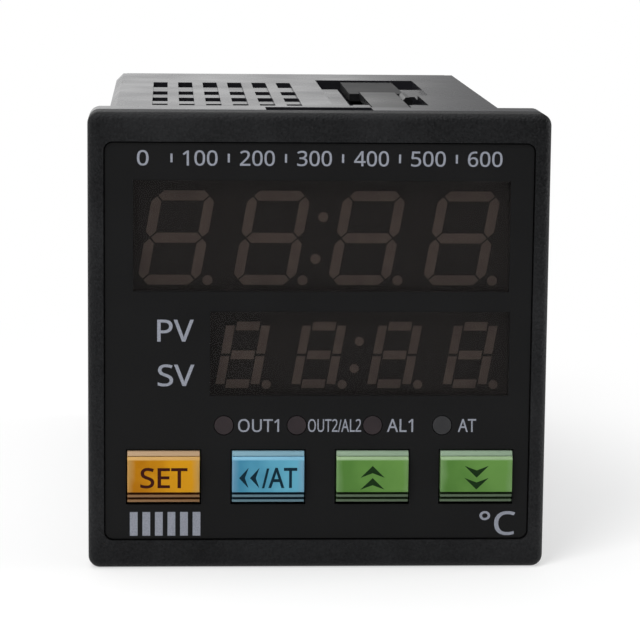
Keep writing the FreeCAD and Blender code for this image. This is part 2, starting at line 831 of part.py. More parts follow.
def terminal_screw(side, z):
    """Cheese-head screw with a cross recess."""
    x = side * terminal_x
    y0 = y_terminal_floor + clamp_thickness
    head = stud(screw_head_radius, x, z, y0, y0 + screw_head_height, screw_head_sides)
    shank = stud(screw_radius, x, z, y0 - screw_length, y0)
    w, length, depth = screw_recess
    y1 = y0 + screw_head_height
    cross = [
        block(x - length / 2, x + length / 2, y1 - depth, y1 + past, z - w / 2, z + w / 2),
        block(x - w / 2, x + w / 2, y1 - depth, y1 + past, z - length / 2, z + length / 2),
    ]
    return joined([head, shank]).cut(cross)


# ------------------------------------------------------------------ build
save("front_bezel", front_bezel())
save("front_overlay", front_overlay())
save("window_lens", window_lens())

pv_block, pv_bars = display(pv_box, mitred_digit(), pv_pitch, pv_point_offset, pv_point_radius,
                            pv_colon_rise)
save("pv_display", pv_block)
save("pv_segments", *pv_bars)
sv_block, sv_bars = display(sv_box, square_digit(), sv_pitch, sv_point_offset, sv_point_radius,
                            sv_colon_rise)
save("sv_display", sv_block)
save("sv_segments", *sv_bars)

for name, x in zip(("out1", "out2", "alarm", "tuning"), lamp_x):
    save("lamp_" + name, lamp(x))

for name, x in zip(("set", "shift", "up", "down"), key_x):
    save("key_" + name, keycap(x))
    save("plunger_" + name, switch_plunger(x))
    save("switch_" + name, tact_switch(x))

save("display_board", display_board())
save("power_board", side_board(-1))
save("control_board", side_board(1))
core, coil = transformer()
save("transformer_core", core)
save("transformer_coil", coil)
save("output_relay", relay(relay_y[0]))
save("alarm_relay", relay(relay_y[1]))
save("mains_capacitor", capacitor(capacitor_large, capacitor_z[0]))
save("supply_capacitor", capacitor(capacitor_small, capacitor_z[1]))
save("controller_chip", controller_chip())
save("case_shell", case_shell())
save("terminal_block", terminal_block())
save("terminal_contacts", *[contact(side, z) for side, z in terminals])
save("clamp_plates", *[clamp_plate(side, z) for side, z in terminals])
save("terminal_screws", *[terminal_screw(side, z) for side, z in terminals])
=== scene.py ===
"""Dresses a panel-mount temperature controller for its studio picture.

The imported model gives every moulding, board and fastener.  This script gives each of them its
finish and adds the fine pieces: rounded key caps with their legends, the print on the front,
rounded terminal screws and the printed terminal numbers.  All sizes are in metres.
"""
from __future__ import annotations

import json
import logging
import math
from dataclasses import dataclass
from enum import Enum
from typing import Callable, ClassVar, Sequence

import bmesh
import bpy
from mathutils import Matrix, Vector


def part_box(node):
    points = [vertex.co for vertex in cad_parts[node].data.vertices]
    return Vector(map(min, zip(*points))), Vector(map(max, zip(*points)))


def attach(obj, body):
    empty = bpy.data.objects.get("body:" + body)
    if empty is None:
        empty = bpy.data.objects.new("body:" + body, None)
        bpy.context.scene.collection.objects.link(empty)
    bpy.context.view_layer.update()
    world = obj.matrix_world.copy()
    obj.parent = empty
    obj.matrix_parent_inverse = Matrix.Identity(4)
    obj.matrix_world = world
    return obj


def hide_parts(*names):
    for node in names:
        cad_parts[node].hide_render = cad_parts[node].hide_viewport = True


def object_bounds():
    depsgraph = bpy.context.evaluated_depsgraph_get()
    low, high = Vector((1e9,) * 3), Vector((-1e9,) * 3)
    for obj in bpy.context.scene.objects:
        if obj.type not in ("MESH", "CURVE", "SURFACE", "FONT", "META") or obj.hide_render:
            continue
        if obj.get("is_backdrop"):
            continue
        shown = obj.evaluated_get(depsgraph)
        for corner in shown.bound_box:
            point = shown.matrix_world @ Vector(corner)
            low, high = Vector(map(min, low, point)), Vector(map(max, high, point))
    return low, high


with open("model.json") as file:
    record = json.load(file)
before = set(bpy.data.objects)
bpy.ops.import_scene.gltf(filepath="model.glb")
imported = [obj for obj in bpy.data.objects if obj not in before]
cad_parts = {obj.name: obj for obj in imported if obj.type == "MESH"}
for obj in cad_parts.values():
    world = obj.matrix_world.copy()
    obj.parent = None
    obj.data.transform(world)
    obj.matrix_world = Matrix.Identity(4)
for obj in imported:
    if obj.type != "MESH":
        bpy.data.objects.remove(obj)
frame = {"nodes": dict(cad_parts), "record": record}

LOG = logging.getLogger("temperature_controller")
MM = 0.001
HOUSING = "housing"
FRONT_INK = 0.012 * MM  # Height of the ink on the overlay.
EDGE = 0.02 * MM  # How far a sharp change in a finish is drawn out.
CLOUDS = (0.3, 0.7)  # Stretch of a noise that its lightest and darkest blotches fill.
# Letters and digits of the sans-serif mathematical alphabet, whose digit one has a flag.
SANS = {ord(c): chr(0x1D5A0 + i) for i, c in enumerate("ABCDEFGHIJKLMNOPQRSTUVWXYZ")}
SANS.update({ord(c): chr(0x1D7E2 + i) for i, c in enumerate("0123456789")})
Color = tuple[float, float, float]
Socket = bpy.types.NodeSocket
Input = Socket | Color | float
Test = Callable[[Vector, Vector], bool]


# ---- mesh helpers
def anything(_middle: Vector, _normal: Vector) -> bool:
    """Chooses every element."""
    return True


class Form:
    """One Blender object that is shaped by hand tools and finished at the origin."""

    def __init__(self, name: str) -> None:
        """Names the object that the last primitive made."""
        self.object = bpy.context.active_object
        self.object.name = name
        self.object.data.name = name

    @staticmethod
    def clear() -> None:
        """Leaves nothing selected before a primitive is added."""
        bpy.ops.object.select_all(action="DESELECT")

    @classmethod
    def block(cls, name: str, low: Sequence[float], high: Sequence[float]) -> Form:
        """Adds a cube between its lowest and its highest corner."""
        cls.clear()
        centre = [(a + b) / 2 for a, b in zip(low, high)]
        bpy.ops.mesh.primitive_cube_add(size=1, location=centre)
        form = cls(name)
        form.object.scale = [b - a for a, b in zip(low, high)]
        return form.settle()

    @classmethod
    def outline(cls, name: str, points: Sequence[Vector], along: Sequence[float]) -> Form:
        """Draws a closed outline point by point, fills it and extrudes it to a solid.

        Args:
            name: The piece's name.
            points: Corners of the outline, in order.
            along: Vector of the extrusion.

        Returns:
            The form, with its place in its mesh.
        """
        cls.clear()
        bpy.ops.mesh.primitive_plane_add(size=MM, location=points[0])
        form = cls(name).settle()
        form.edit("VERT", anything)
        bpy.ops.mesh.merge(type="CENTER")
        for start, end in zip(points, points[1:]):
            bpy.ops.mesh.extrude_region_move(TRANSFORM_OT_translate={"value": tuple(end - start)})
        bpy.ops.mesh.select_all(action="SELECT")
        bpy.ops.mesh.edge_face_add()
        bpy.ops.mesh.extrude_region_move(TRANSFORM_OT_translate={"value": tuple(along)})
        form.done()
        return form.outward()

    @classmethod
    def triangle(cls, name: str) -> Form:
        """Adds a filled triangle that faces the front, with its corners 1 from its middle."""
        cls.clear()
        bpy.ops.mesh.primitive_circle_add(vertices=3, radius=1.0, fill_type="NGON",
                                          location=(0, 0, 0), rotation=(math.pi / 2, 0, 0))
        return cls(name).settle()

    @classmethod
    def bar(cls, name: str, centre: Sequence[float], width: float, height: float) -> Form:
        """Adds a flat upright bar that faces the front."""
        cls.clear()
        bpy.ops.mesh.primitive_plane_add(size=1, location=centre, rotation=(math.pi / 2, 0, 0))
        form = cls(name)
        form.object.scale = (width, height, 1)
        return form.settle()

    def activate(self) -> None:
        """Makes this the only selected and the active object."""
        self.clear()
        self.object.select_set(True)
        bpy.context.view_layer.objects.active = self.object

    def settle(self) -> Form:
        """Moves the object's place, turn and scale into its mesh."""
        self.activate()
        bpy.ops.object.transform_apply(location=True, rotation=True, scale=True)
        return self

    def edit(self, mode: str, test: Test) -> None:
        """Opens edit mode with the elements selected that pass a test.

        Args:
            mode: VERT, EDGE or FACE.
            test: Takes an element's middle, and its normal or an edge's direction.
        """
        self.activate()
        bpy.ops.object.mode_set(mode="EDIT")
        bpy.ops.mesh.select_mode(type=mode)
        bpy.ops.mesh.select_all(action="DESELECT")
        mesh = bmesh.from_edit_mesh(self.object.data)
        mesh.normal_update()
        if mode == "FACE":
            found = [(f, f.calc_center_median(), f.normal) for f in mesh.faces]
        elif mode == "EDGE":
            ends = [(e, e.verts[0].co, e.verts[1].co) for e in mesh.edges]
            found = [(e, (a + b) / 2, b - a) for e, a, b in ends]
        else:
            found = [(v, v.co, v.normal) for v in mesh.verts]
        for element in [e for e, middle, direction in found if test(middle, direction)]:
            element.select_set(True)
        bmesh.update_edit_mesh(self.object.data)

    @staticmethod
    def done() -> None:
        """Closes edit mode."""
        bpy.ops.object.mode_set(mode="OBJECT")

    def reach(self, axis: int) -> tuple[float, float]:
        """Least and greatest place of the form's vertices along an axis."""
        places = [v.co[axis] for v in self.object.data.vertices]
        return min(places), max(places)

    def work(self, mode: str, test: Test, operator: Callable[..., object],
             **values: object) -> Form:
        """Runs one operator on the elements that pass a test."""
        self.edit(mode, test)
        operator(**values)
        self.done()
        return self

    def trim(self, point: Sequence[float], normal: Sequence[float]) -> Form:
        """Cuts off what lies on the normal's side of a plane, and closes the cut."""
        return self.work("FACE", anything, bpy.ops.mesh.bisect, plane_co=tuple(point),
                         plane_no=tuple(normal), use_fill=True, clear_outer=True)

    def shift(self, test: Test, by: Sequence[float]) -> Form:
        """Moves the chosen vertices."""
        return self.work("VERT", test, bpy.ops.transform.translate, value=tuple(by))

    def modify(self, kind: str, **values: object) -> Form:
        """Adds a modifier, sets its properties and applies it."""
        modifier = self.object.modifiers.new(kind.lower(), kind)
        for key, value in values.items():
            setattr(modifier, key, value)
        self.activate()
        bpy.ops.object.modifier_apply(modifier=modifier.name)
        return self

    def bevel(self, width: float, segments: int = 3, angle: float = 35.0) -> Form:
        """Rounds every edge sharper than an angle, in degrees."""
        return self.modify("BEVEL", width=width, segments=segments, limit_method="ANGLE",
                           angle_limit=math.radians(angle))

    def smooth(self, angle: float = 40.0) -> Form:
        """Shades smooth, and sharp at edges over an angle, in degrees."""
        self.activate()
        bpy.ops.object.shade_smooth_by_angle(angle=math.radians(angle))
        return self

    def outward(self) -> Form:
        """Merges doubled vertices and points every face outwards."""
        self.work("FACE", anything, bpy.ops.mesh.remove_doubles, threshold=1e-7)
        return self.work("FACE", anything, bpy.ops.mesh.normals_make_consistent, inside=False)

    def copy(self, name: str, move: Sequence[float]) -> Form:
        """Copies the form with its own mesh, moved by a vector."""
        self.activate()
        bpy.ops.object.duplicate(linked=False)
        form = Form(name)
        form.object.location = move
        return form.settle()

    def finish(self, body: str, slot: str, material: bpy.types.Material) -> bpy.types.Object:
        """Gives the piece its material and its body, and returns the object."""
        piece = self.object
        piece.data.materials.clear()
        piece.data.materials.append(material)
        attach(piece, body)
        LOG.info("%s: %d faces on %s", piece.name, len(piece.data.polygons), body)
        return piece


def joined(name: str, forms: Sequence[Form]) -> Form:
    """Joins several forms into one piece."""
    Form.clear()
    for form in forms:
        form.object.select_set(True)
    bpy.context.view_layer.objects.active = forms[0].object
    bpy.ops.object.join()
    return Form(name)


# ---- finishes
class Tree:
    """Builds the nodes of a material or of the world."""

    def __init__(self, owner: bpy.types.Material | bpy.types.World) -> None:
        """Empties the owner's node tree."""
        owner.use_nodes = True
        self.tree = owner.node_tree
        self.tree.nodes.clear()

    def add(self, kind: str, **values: object) -> bpy.types.Node:
        """Adds a node and sets its properties."""
        node = self.tree.nodes.new(kind)
        for key, value in values.items():
            setattr(node, key, value)
        return node

    def link(self, source: Socket, target: Socket) -> None:
        """Joins two sockets."""
        self.tree.links.new(source, target)

    def put(self, node: bpy.types.Node, name: str | int, value: Input) -> None:
        """Sets an input to a constant, or links it when the value is a socket."""
        if isinstance(value, bpy.types.NodeSocket):
            self.link(value, node.inputs[name])
        elif isinstance(value, tuple) and len(value) == 3 and node.inputs[name].type == "RGBA":
            node.inputs[name].default_value = (*value, 1.0)
        else:
            node.inputs[name].default_value = value

    def feed(self, kind: str, result: str | int, inputs: dict[str | int, Input],
             **values: object) -> Socket:
        """Adds a node, sets its inputs, and returns one of its outputs."""
        node = self.add(kind, **values)
        for name, value in inputs.items():
            self.put(node, name, value)
        return node.outputs[result]

    def spread(self, factor: Input, low: float, high: float, to_low: float = 0.0,
               to_high: float = 1.0, smooth: bool = False) -> Socket:
        """Maps a factor from one range to another, clamped."""
        inputs = {"Value": factor, "From Min": low, "From Max": high, "To Min": to_low,
                  "To Max": to_high}
        return self.feed("ShaderNodeMapRange", "Result", inputs,
                         interpolation_type="SMOOTHSTEP" if smooth else "LINEAR")

    def mix(self, factor: Input, first: Input, second: Input) -> Socket:
        """Mixes two colours."""
        return self.feed("ShaderNodeMix", 2, {0: factor, 6: first, 7: second}, data_type="RGBA")

    def maths(self, operation: str, first: Input, second: Input = 0.0) -> Socket:
        """One arithmetic step."""
        return self.feed("ShaderNodeMath", "Value", {0: first, 1: second}, operation=operation)


class Nodes(Tree):
    """Builds one material's nodes."""

    def __init__(self, name: str) -> None:
        """Starts a material that has only its shader."""
        self.material = bpy.data.materials.new(name)
        super().__init__(self.material)
        self.output = self.add("ShaderNodeOutputMaterial")
        self.shader = self.add("ShaderNodeBsdfPrincipled")
        self.link(self.shader.outputs["BSDF"], self.output.inputs["Surface"])
        self.place = self.add("ShaderNodeTexCoord").outputs["Object"]

    def surface(self, **values: Input) -> None:
        """Sets the shader's inputs, with underscores for the spaces in their names."""
        for key, value in values.items():
            self.put(self.shader, key.replace("_", " "), value)

    def mapped(self, name: str, values: Sequence[float]) -> Socket:
        """The place on the piece, moved or scaled, as the mapping node's input is named."""
        mapping = self.add("ShaderNodeMapping")
        self.link(self.place, mapping.inputs["Vector"])
        mapping.inputs[name].default_value = values
        return mapping.outputs["Vector"]

    def noise(self, size: float, detail: float = 2.0, stretch: Color = (1, 1, 1)) -> Socket:
        """Noise whose blotches have about one size, stretched by a factor along each axis."""
        place = self.mapped("Scale", [s / size for s in stretch])
        inputs = {"Scale": 1.0, "Detail": detail, "Vector": place}
        return self.feed("ShaderNodeTexNoise", "Fac", inputs)

    def axes(self, centre: Sequence[float] = (0, 0, 0)) -> list[Socket]:
        """X, Y and Z of the place on the piece, measured from a centre."""
        node = self.add("ShaderNodeSeparateXYZ")
        self.put(node, "Vector", self.mapped("Location", [-c for c in centre]))
        return list(node.outputs)

    def bump(self, height: Input, depth: float) -> Socket:
        """Turns a height from 0 to 1 into a normal, where 1 stands for the depth."""
        return self.feed("ShaderNodeBump", "Normal", {"Distance": depth, "Height": height})


class Finish:
    """A look that is painted into a new material."""

    def make(self, name: str) -> bpy.types.Material:
        """Builds the material."""
        n = Nodes(name)
        self.paint(n)
        return n.material

    def paint(self, n: Nodes) -> None:
        """Adds its nodes."""
        raise NotImplementedError


def shaded(color: Color, share: float) -> Color:
    """The colour with its parts scaled by a share."""
    red, green, blue = color
    return red * share, green * share, blue * share


@dataclass(frozen=True)
class Plastic(Finish):
    """Moulded plastic with a fine texture and slightly uneven colour.

    Attributes:
        color: Main colour.
        roughness: Middle of the roughness.
        specular: Strength of the gloss.
        grain: Width of the texture's grains.
        depth: Height of the texture's grains.
        unevenness: How far the colour wanders, as a share.
        sleek: Roughness of a sleek stretch, and where it starts and ends from front to back.
        tint: Tint of its gloss.
        blotch: Width of the broad blotches.
        swing: How far the roughness wanders.
    """

    color: Color
    roughness: float
    specular: float = 0.5
    grain: float = 0.25 * MM
    depth: float = 0.004 * MM
    unevenness: float = 0.2
    sleek: tuple[float, float, float] | None = None
    tint: Color = (1.0, 1.0, 1.0)
    blotch: float = 9 * MM
    swing: float = 0.04

    def paint(self, n: Nodes) -> None:
        """Adds its nodes."""
        fine = n.noise(self.grain, detail=3)
        broad = n.noise(self.blotch, detail=2)
        height = n.spread(fine, *CLOUDS)
        roughness = n.spread(broad, *CLOUDS, self.roughness - self.swing,
                             self.roughness + self.swing)
        if self.sleek:
            level, start, end = self.sleek
            y = n.axes()[1]
            rear = n.spread(y, start - EDGE, start)
            height = n.maths("MULTIPLY", height, n.maths("SUBTRACT", 1.0, rear))
            stretch = n.maths("MULTIPLY", rear, n.spread(y, end, end + EDGE, 1.0, 0.0))
            drop = n.maths("MULTIPLY", stretch, self.roughness - level)
            roughness = n.maths("SUBTRACT", roughness, drop)
        dark, light = (shaded(self.color, 1 + side * self.unevenness) for side in (-1, 1))
        n.surface(
            Base_Color=n.mix(n.spread(n.maths("ADD", fine, broad), 0.7, 1.3), dark, light),
            Roughness=roughness,
            Specular_IOR_Level=self.specular,
            Specular_Tint=self.tint,
            Normal=n.bump(height, self.depth),
        )


@dataclass(frozen=True)
class SmokedAcrylic(Finish):
    """Smoked clear sheet with a hard gloss.

    Attributes:
        tint: Colour of the smoke.
        cover: How much of what lies behind is held back.
        roughness: Roughness of the face.
        specular: Strength of the gloss.
        haze: Width of the hazy blotches.
        swing: How far colour and roughness wander, as a share.
    """

    tint: Color
    cover: float
    roughness: float
    specular: float = 0.15
    haze: float = 6 * MM
    swing: float = 0.15

    def paint(self, n: Nodes) -> None:
        """Adds its nodes."""
        haze = n.noise(self.haze, detail=3)
        less, more = 1 - self.swing, 1 + self.swing
        n.surface(
            Base_Color=n.mix(n.spread(haze, *CLOUDS), shaded(self.tint, less),
                             shaded(self.tint, more)),
            Roughness=n.spread(haze, *CLOUDS, self.roughness * less, self.roughness * more),
            Specular_IOR_Level=self.specular,
            Alpha=self.cover,
        )


@dataclass(frozen=True)
class Resin(Finish):
    """Diffusing resin of an unlit lamp or segment, clouded a little.

    Attributes:
        color: Main colour.
        cloud: Colour of the clouds in it.
        blotch: Width of the clouds.
        grain: Width and height of the grains on its face.
    """

    color: Color
    cloud: Color
    blotch: float = 1.6 * MM
    grain: tuple[float, float] = (0.2 * MM, 0.003 * MM)

    def paint(self, n: Nodes) -> None:
        """Adds its nodes."""
        cloud = n.noise(self.blotch, detail=2)
        width, height = self.grain
        n.surface(
            Base_Color=n.mix(n.spread(cloud, 0.35, 0.7), self.color, self.cloud),
            Roughness=0.5,
            Specular_IOR_Level=0.3,
            Normal=n.bump(n.noise(width), height),
        )


@dataclass(frozen=True)
class KeyResin:
    """Translucent key moulding, with painted shade and painted highlights, paler at both ends.

    Attributes:
        left: Colour of the crowned face on the left, darkened there as painted shade.
        right: Colour of the crowned face on the right, where the painted shade is lightest.
        end_color: Colour that the face turns to at both ends.
        band: Colour of the sloping band at the top, a painted highlight.
        bevel: Colour of the bevel under it, a painted highlight.
        rib_shade: Colour of the two ribs at the foot, painted shade.
        shade: Colour of the painted shade deep in the grooves.
        blotch: Width of the clouds in it.
        wander: How far the clouds move the colours sideways, as a share of half the width.
        rise: Where the bevel's painted highlight starts and is full, from the foot of the bevel.
    """

    left: Color
    right: Color
    end_color: Color
    band: Color
    bevel: Color
    # Painted shade on the ribs at the foot.
    rib_shade: Color
    shade: Color
    blotch: float = 2.6 * MM
    wander: float = 0.35
    rise: tuple[float, float] = (-0.1 * MM, 0.06 * MM)

    def make(self, name: str, centre: Sequence[float], half_width: float,
             levels: Sequence[float],
             grooves: Sequence[tuple[float, float]]) -> bpy.types.Material:
        """Builds the material for one key.

        Args:
            name: The material's name.
            centre: Middle of the key.
            half_width: Half its width.
            levels: Heights where the ribs end, and where the bevel and the band start.
            grooves: Lower and upper edge of the painted shade in each groove at the foot.
        """
        n = Nodes(name)
        x, _, z = n.axes(centre)
        across = n.maths("DIVIDE", x, half_width)
        cloud = n.noise(self.blotch, detail=2)
        wander = n.spread(cloud, *CLOUDS, -self.wander, self.wander)
        place = n.maths("ADD", across, wander)
        # Painted shade across the face: darker on the left, lighter on the right.
        face = n.mix(n.spread(place, -0.9, 0.7, smooth=True), self.left, self.right)
        # Towards both ends the face turns to the end colour.
        ends = n.maths("ADD", n.maths("ABSOLUTE", across), n.maths("MULTIPLY", wander, 0.15))
        face = n.mix(n.spread(ends, 0.80, 0.99, 0.0, 0.7), face, self.end_color)
        ribs, bevel, band = levels
        # Painted shade: the ribs at the foot take a darker colour than the face.
        lower = n.mix(n.spread(z, ribs, ribs + EDGE), self.rib_shade, face)
        # Painted highlights: the bevel and the band at the top take lighter colours.
        upper = n.mix(n.spread(z, band, band + EDGE), self.bevel, self.band)
        start, full = self.rise
        color = n.mix(n.spread(z, bevel + start, bevel + full), lower, upper)
        # Painted shade deep in each groove at the foot, reaching down over the rib under it.
        for low, high in grooves:
            away = n.maths("ABSOLUTE", n.maths("SUBTRACT", z, (low + high) / 2))
            half = (high - low) / 2
            color = n.mix(n.spread(away, half - EDGE, half, 1.0, 0.0), color, self.shade)
        n.surface(
            Base_Color=color,
            Roughness=n.spread(cloud, *CLOUDS, 0.36, 0.46),
            Specular_IOR_Level=0.06,
            Normal=n.bump(n.noise(0.3 * MM, detail=1), 0.002 * MM),
        )
        return n.material


@dataclass(frozen=True)
class Ink(Finish):
    """Screen-printed ink.

    Attributes:
        color: The ink's colour.
        roughness: Its roughness.
        speckle: Width of its speckles.
        thin: Share of the colour where it is thin.
    """

    color: Color
    roughness: float = 0.6
    speckle: float = 0.12 * MM
    thin: float = 0.8

    def paint(self, n: Nodes) -> None:
        """Adds its nodes."""
        speckle = n.spread(n.noise(self.speckle, detail=2), 0.35, 0.6)
        n.surface(
            Base_Color=n.mix(speckle, shaded(self.color, self.thin), self.color),
            Roughness=self.roughness,
            Specular_IOR_Level=0.05,
        )


@dataclass(frozen=True)
class Metal(Finish):
    """Plated or rolled metal with fine streaks.

    Attributes:
        color: The metal's colour.
        roughness: Middle of the roughness.
        streak: Factors that stretch the streaks along the axes.
        tarnish: Width of the tarnished blotches, and their share of the colour.
    """

    color: Color
    roughness: float
    streak: Color = (1, 1, 1)
    tarnish: tuple[float, float] = (2.5 * MM, 0.72)

    def paint(self, n: Nodes) -> None:
        """Adds its nodes."""
        fine = n.noise(0.15 * MM, detail=3, stretch=self.streak)
        width, share = self.tarnish
        tarnish = n.spread(n.noise(width, detail=3), 0.45, 0.75)
        n.surface(
            Base_Color=n.mix(tarnish, self.color, shaded(self.color, share)),
            Metallic=1.0,
            Roughness=n.spread(fine, *CLOUDS, self.roughness - 0.06, self.roughness + 0.08),
            Normal=n.bump(fine, 0.0015 * MM),
        )


@dataclass(frozen=True)
class Laminate(Finish):
    """Green solder-masked circuit board with faint tracks.

    Attributes:
        mask: Colour of the mask.
        track: Colour over the copper.
        pitch: Distance between the tracks.
    """

    mask: Color
    track: Color
    pitch: float = 1.3 * MM

    def paint(self, n: Nodes) -> None:
        """Adds its nodes."""
        inputs = {"Scale": 1.0, "Vector": n.mapped("Scale", (1 / self.pitch,) * 3)}
        cells = n.feed("ShaderNodeTexVoronoi", "Distance", inputs, distance="MANHATTAN",
                       feature="F1")
        track = n.spread(cells, 0.42, 0.5)
        n.surface(
            Base_Color=n.mix(track, self.mask, self.track),
            Roughness=0.35,
            Normal=n.bump(track, 0.03 * MM),
        )


@dataclass(frozen=True)
class Laminations(Finish):
    """Stack of varnished steel sheets.

    Attributes:
        color: Colour of the steel.
        sheet: Thickness of a sheet.
    """

    color: Color
    sheet: float

    def paint(self, n: Nodes) -> None:
        """Adds its nodes."""
        x, _, _ = n.axes()
        phase = n.maths("FRACT", n.maths("DIVIDE", x, self.sheet))
        gap = n.spread(n.maths("ABSOLUTE", n.maths("SUBTRACT", phase, 0.5)), 0.36, 0.46)
        n.surface(
            Base_Color=n.mix(gap, self.color, shaded(self.color, 0.25)),
            Metallic=0.7,
            Roughness=0.45,
            Normal=n.bump(gap, -0.05 * MM),
        )


FINISHES: dict[str, Finish] = {
    "bezel_plastic": Plastic((0.0090, 0.0092, 0.0096), 0.48, 0.14, 0.24 * MM, 0.05 * MM, 0.7,
                             (0.28, -4.0 * MM, 41.8 * MM), (0.94, 0.95, 1.0)),
    "overlay_print": Plastic((0.0080, 0.0081, 0.0084), 0.40, 0.08, 0.22 * MM, 0.002 * MM, 0.15),
    "smoked_lens": SmokedAcrylic((0.0140, 0.0120, 0.0114), 0.33, 0.2),
    "display_housing": Plastic((0.0190, 0.0160, 0.0150), 0.5, 0.15),
    "segment_resin": Resin((0.148, 0.105, 0.088), (0.190, 0.140, 0.114)),
    "lamp_red": Resin((0.016, 0.010, 0.012), (0.022, 0.014, 0.016)),
    "lamp_grey": Resin((0.018, 0.018, 0.020), (0.025, 0.025, 0.027)),
    "switch_plastic": Plastic((0.02, 0.02, 0.02), 0.5),
    "circuit_board": Laminate((0.010, 0.075, 0.03), (0.02, 0.13, 0.05)),
    "core_steel": Laminations((0.22, 0.21, 0.2), 0.5 * MM),
    "coil_tape": Plastic((0.65, 0.5, 0.08), 0.35, 0.5, 1.2 * MM, 0.02 * MM),
    "relay_plastic": Plastic((0.03, 0.10, 0.36), 0.35),
    "capacitor_sleeve": Plastic((0.012, 0.016, 0.03), 0.25),
    "chip_epoxy": Plastic((0.012, 0.012, 0.012), 0.6),
    "case_plastic": Plastic((0.014, 0.014, 0.017), 0.26, 0.6, 0.35 * MM, 0.001 * MM, 0.12,
                            tint=(0.94, 0.95, 1.0)),
    "terminal_plastic": Plastic((0.012, 0.012, 0.0135), 0.42, 0.45, 0.3 * MM, 0.006 * MM, 0.2),
    "contact_brass": Metal((0.62, 0.50, 0.27), 0.32, (1, 0.1, 1)),
    "clamp_steel": Metal((0.56, 0.56, 0.54), 0.32),
    "screw_steel": Metal((0.62, 0.62, 0.60), 0.26),
}


def dress_nodes() -> dict[str, bpy.types.Material]:
    """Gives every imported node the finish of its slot, and returns the materials by slot."""
    made = {slot: finish.make(slot) for slot, finish in FINISHES.items()}
    for part in frame["record"]["subparts"]:
        material = made.get(part["material_slot"])
        if material is None:
            continue
        node = frame["nodes"][part["node"]]
        node.data.materials.clear()
        node.data.materials.append(material)
        LOG.info("%s: dressed as %s", part["node"], part["material_slot"])
    return made


# ---- keys
class Legend(Enum):
    """What is printed on a key."""

    SET = "set"
    SHIFT = "shift"
    UP = "up"
    DOWN = "down"


@dataclass(frozen=True)
class KeyShape:
    """Sizes of the key cap that the four keys share.

    Attributes:
        lip: How far the stop lips reach past the cap, above and below.
        lip_depth: Thickness of the stop lips.
        stem: Length of the stem behind the lips.
        stem_size: Side of the square stem.
        crown: How far the middle of the face stands out past its edges.
        step: Height of each of the two steps round the face.
        top_band: Height of the sloping band at the top.
        top_groove: Height and depth of the groove under it.
        top_bevel: Height of the bevel above the face.
        foot_groove: Height and depth of the grooves at the foot.
        foot_rib: Height of each rib at the foot.
        foot_skirt: Height of the strip under the ribs, and how far it lies behind them.
        side_chamfer: Chamfer at both ends of the face.
        corner: Chamfer of the cap's corners.
        rounding: Radius of the small edges.
        crown_rows: Number of strips in the crowned face.
        shade_drop: How far the painted shade in a groove reaches down over the rib under it.
        lip_rounding: Radius of the lips' edges.
    """

    lip: float = 0.5 * MM
    lip_depth: float = 0.9 * MM
    stem: float = 0.5 * MM
    stem_size: float = 2.8 * MM
    crown: float = 0.12 * MM
    step: float = 0.22 * MM
    top_band: float = 0.44 * MM
    top_groove: tuple[float, float] = (0.07 * MM, 0.3 * MM)
    top_bevel: float = 0.31 * MM
    foot_groove: tuple[float, float] = (0.23 * MM, 0.4 * MM)
    foot_rib: float = 0.33 * MM
    foot_skirt: tuple[float, float] = (0.19 * MM, 0.8 * MM)
    side_chamfer: float = 0.2 * MM
    corner: float = 0.07 * MM
    rounding: float = 0.03 * MM
    crown_rows: int = 12
    shade_drop: float = 0.08 * MM
    lip_rounding: float = 0.1 * MM

    def profile(self, front: float, back: float, bottom: float,
                top: float) -> list[tuple[float, float]]:
        """Side outline of a cap as (y, z) points, from the top back edge round the front.

        Args:
            front: Foremost point of the crown.
            back: Rear of the cap.
            bottom: Foot of the cap.
            top: Head of the cap.
        """
        foot, (crown_top, bevel_top, band_foot) = self.heights(bottom, top)
        skirt_top, low_rib, low_groove, high_rib, crown_foot = foot
        face = front + self.crown
        middle = face + self.step
        base = middle + self.step
        depth, setback = self.top_groove[1], self.foot_skirt[1]
        points = [(back, top), (base, top), (middle, band_foot), (middle + depth, band_foot),
                  (middle + depth, bevel_top), (middle, bevel_top)]
        for i in range(self.crown_rows + 1):
            share = i / self.crown_rows
            bulge = 4 * share * (1 - share)
            z = crown_top + (crown_foot - crown_top) * share
            points.append((face - self.crown * bulge, z))
        depth = self.foot_groove[1]
        points += [(face + depth, crown_foot), (face + depth, high_rib), (middle, high_rib),
                   (middle, low_groove), (middle + depth, low_groove), (middle + depth, low_rib),
                   (base, low_rib), (base, skirt_top), (base + setback, skirt_top),
                   (base + setback, bottom), (back, bottom)]
        return points

    def heights(self, bottom: float, top: float) -> tuple[list[float], list[float]]:
        """Heights where the face changes, at the foot and at the head, each from below."""
        foot = [bottom + self.foot_skirt[0]]
        for height in (self.foot_rib, self.foot_groove[0]) * 2:
            foot.append(foot[-1] + height)
        band = top - self.top_band
        bevel = band - self.top_groove[0]
        return foot, [bevel - self.top_bevel, bevel, band]

    def levels(self, bottom: float, top: float) -> tuple[float, float, float]:
        """Heights where the ribs end, and where the bevel and the band start."""
        foot, head = self.heights(bottom, top)
        return (foot[3] + foot[4]) / 2, head[0], (head[1] + head[2]) / 2

    def grooves(self, bottom: float, top: float) -> list[tuple[float, float]]:
        """Lower and upper edge of the painted shade of each groove at the foot."""
        foot, _ = self.heights(bottom, top)
        return [(foot[i] - self.shade_drop, foot[i + 1]) for i in (1, 3)]


